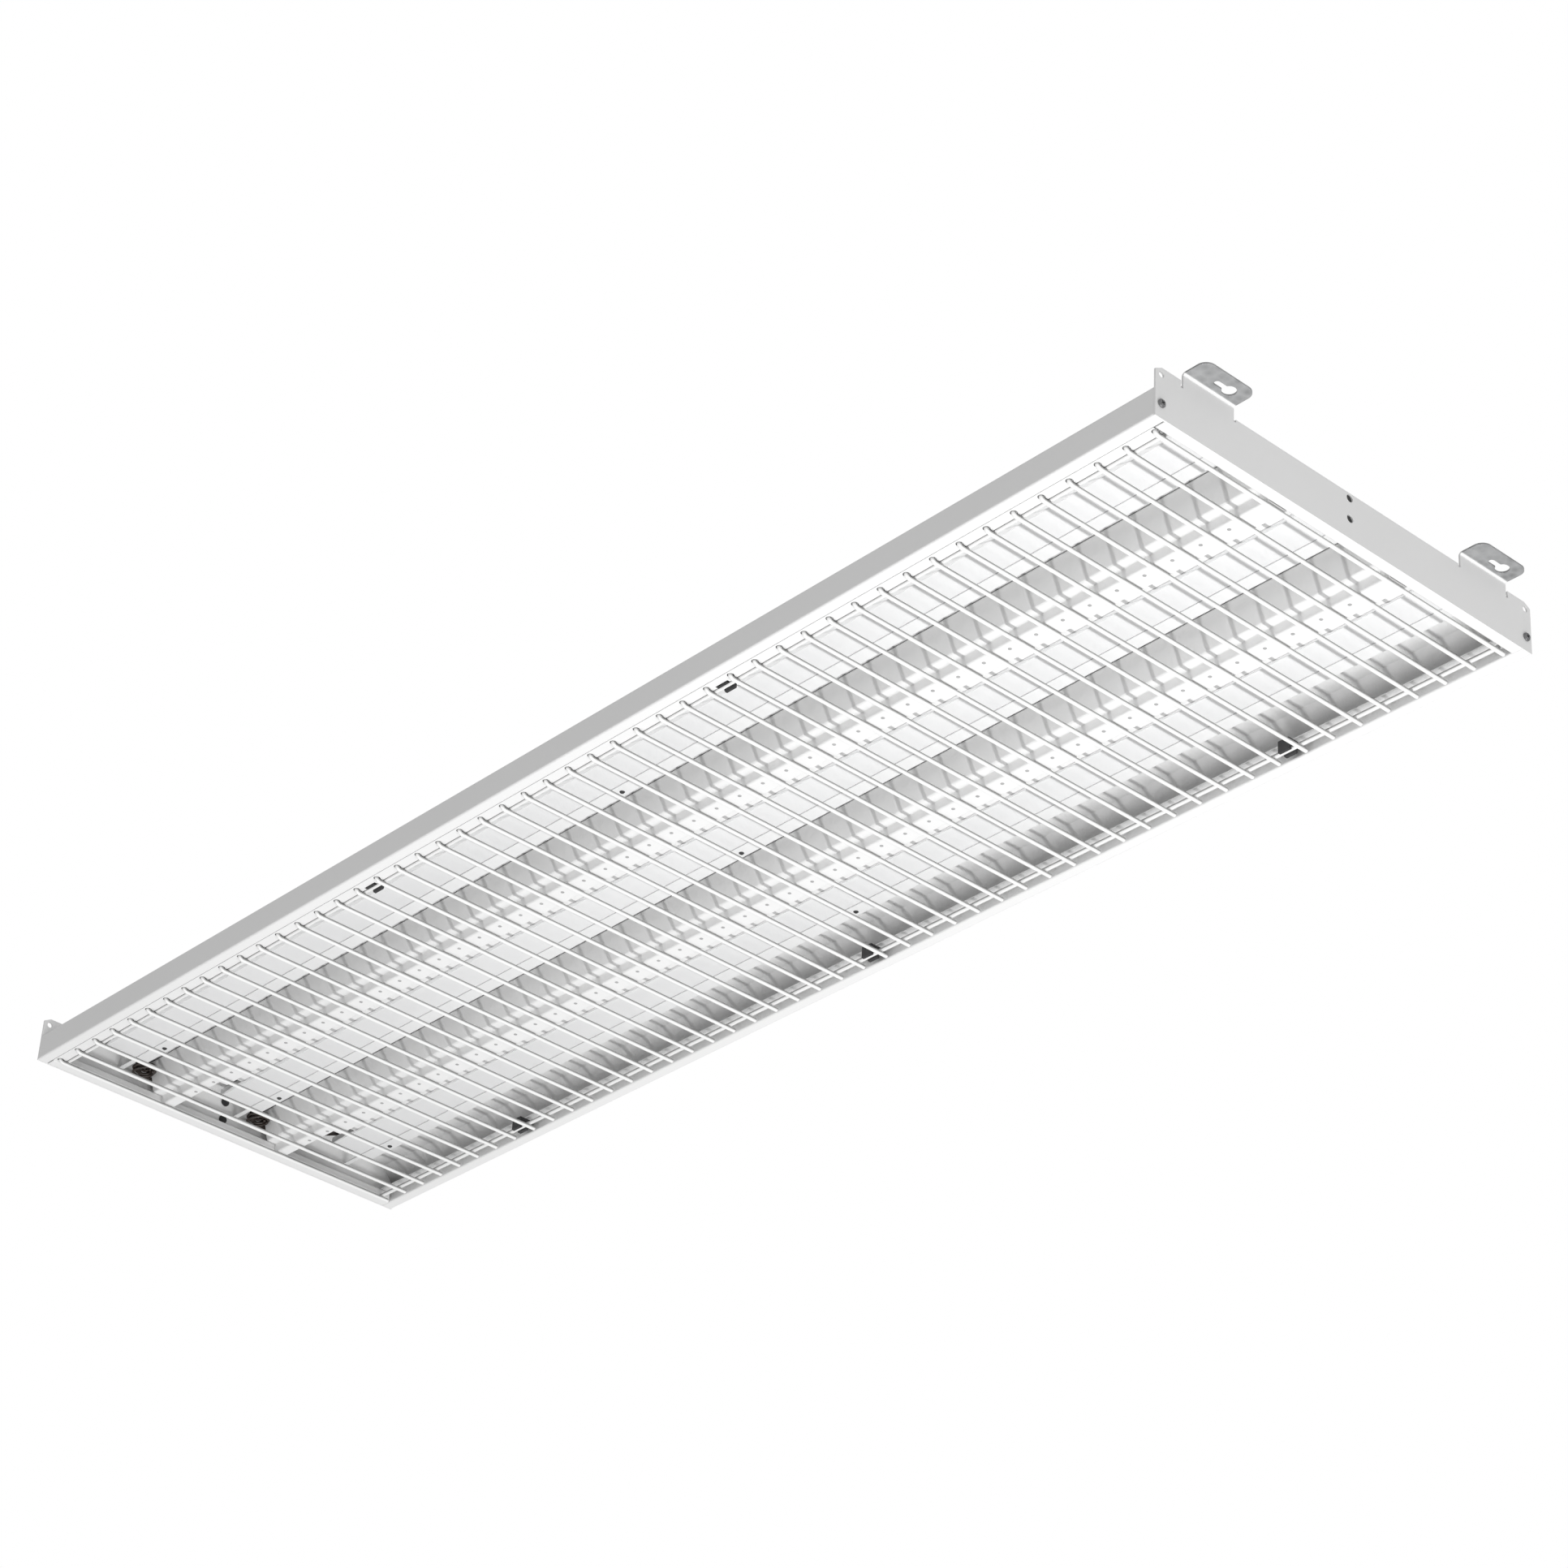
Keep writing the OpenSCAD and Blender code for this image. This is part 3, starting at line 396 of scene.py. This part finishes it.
# small closed rivets in the web of each mid rail, one between every two cross wires
def rail_rivets(name, y):
    verts, faces = [], []
    for k in range(2, 49):
        x = (-750 + 3.2 + 29.95 * k) / 1000
        base = len(verts)
        rings = ((1.75, 0.05), (1.70, -0.12), (1.3, -0.26), (0.6, -0.33))
        for r, dz in rings:
            for j in range(16):
                w = 2 * math.pi * j / 16
                verts.append((x + r / 1000 * math.cos(w), y / 1000 + r / 1000 * math.sin(w), RIM + dz / 1000))
        for q in range(3):
            for j in range(16):
                j1 = (j + 1) % 16
                faces.append((base + q * 16 + j, base + (q + 1) * 16 + j, base + (q + 1) * 16 + j1, base + q * 16 + j1))
        faces.append(tuple(base + 48 + j for j in reversed(range(16))))
        faces.append(tuple(base + j for j in range(16)))
    o = new_piece(name, verts, faces, RIVET)
    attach(o, "lamp_body")
    return o


rail_rivets("rail_rivets_latch_side", -69.75 - 3.3)
rail_rivets("rail_rivets_hinge_side", 69.75 - 3.3)

# ---------------------------------------------------------------- stage
FLOOR_Z = -5.4
floor_mesh = bpy.data.meshes.new("floor")
s = 30.0
floor_mesh.from_pydata([(-s, -s, FLOOR_Z), (s, -s, FLOOR_Z), (s, s, FLOOR_Z), (-s, s, FLOOR_Z)], [], [(0, 1, 2, 3)])
floor = bpy.data.objects.new("floor", floor_mesh)
bpy.context.scene.collection.objects.link(floor)
fm = Mat("pale_floor", 0.8)
fm.link(fm.ramp(fm.noise(0.7, 2.0), [(0.3, (0.86, 0.86, 0.86)), (0.7, (0.88, 0.88, 0.88))]), "Base Color")
floor.data.materials.append(fm.m)

# ---------------------------------------------------------------- world and lights
world = bpy.data.worlds.new("studio")
bpy.context.scene.world = world
world.use_nodes = True
nt = world.node_tree
nt.nodes.clear()
out = nt.nodes.new("ShaderNodeOutputWorld")
mixs = nt.nodes.new("ShaderNodeMixShader")
lp = nt.nodes.new("ShaderNodeLightPath")
amb = nt.nodes.new("ShaderNodeBackground")
amb.inputs["Color"].default_value = (1, 1, 1, 1)
wtc = nt.nodes.new("ShaderNodeTexCoord")
wxyz = nt.nodes.new("ShaderNodeSeparateXYZ")
nt.links.new(wtc.outputs["Generated"], wxyz.inputs[0])


def madd(a, k, b):
    x = nt.nodes.new("ShaderNodeMath")
    x.operation = "MULTIPLY_ADD"
    nt.links.new(a, x.inputs[0])
    x.inputs[1].default_value = k
    if hasattr(b, "is_output"):
        nt.links.new(b, x.inputs[2])
    else:
        x.inputs[2].default_value = b
    return x.outputs[0]


# the room is a little brighter on the far (+Y) side and past the near end
nt.links.new(madd(wxyz.outputs["X"], 0.12, madd(wxyz.outputs["Y"], 0.12, 0.55)), amb.inputs["Strength"])
cam_bg = nt.nodes.new("ShaderNodeBackground")
cam_bg.inputs["Color"].default_value = (1, 1, 1, 1)
cam_bg.inputs["Strength"].default_value = 1.0
nt.links.new(lp.outputs["Is Camera Ray"], mixs.inputs["Fac"])
nt.links.new(amb.outputs[0], mixs.inputs[1])
nt.links.new(cam_bg.outputs[0], mixs.inputs[2])
nt.links.new(mixs.outputs[0], out.inputs["Surface"])


def area(name, loc, target, size, power, size_y=None):
    d = bpy.data.lights.new(name, "AREA")
    d.shape = "RECTANGLE" if size_y else "DISK"
    d.size = size
    if size_y:
        d.size_y = size_y
    d.energy = power
    o = bpy.data.objects.new(name, d)
    o.location = loc
    v = Vector(target) - Vector(loc)
    o.rotation_mode = "QUATERNION"
    o.rotation_quaternion = v.to_track_quat("-Z", "Y")
    bpy.context.scene.collection.objects.link(o)
    o.visible_camera = False
    return o


# a long narrow strip below, its length across the lamp, so the cross wires throw
# sharp shadows and the long wires hardly any
key = area("key", (0.9, -0.55, -3.0), (0.9, -0.55, 0), 0.2, 68, 3.8)
# soft box low in front of the near end
fill = area("fill", (2.6, 0.1, -2.6), (0, 0, 0), 1.6, 26)

# ---------------------------------------------------------------- camera
cam_d = bpy.data.cameras.new("camera")
cam_d.sensor_fit = "HORIZONTAL"
cam_d.sensor_width = 36.0
cam_d.lens = 95.03
cam_d.clip_start = 0.05
cam_d.clip_end = 200.0
cam = bpy.data.objects.new("camera", cam_d)
bpy.context.scene.collection.objects.link(cam)
right = Vector((0.66985, 0.74041, 0.05564)).normalized()
up = Vector((0.36256, -0.39156, 0.84571)).normalized()
back = right.cross(up).normalized()
up = back.cross(right).normalized()
rot = Matrix((right, up, back)).transposed()
cam.matrix_world = Matrix.Translation((2.4562, -1.9924, -1.9333)) @ rot.to_4x4()
bpy.context.scene.camera = cam

vs = bpy.context.scene.view_settings
vs.view_transform = "Standard"
vs.look = "None"
vs.exposure = 0.0
vs.gamma = 1.0
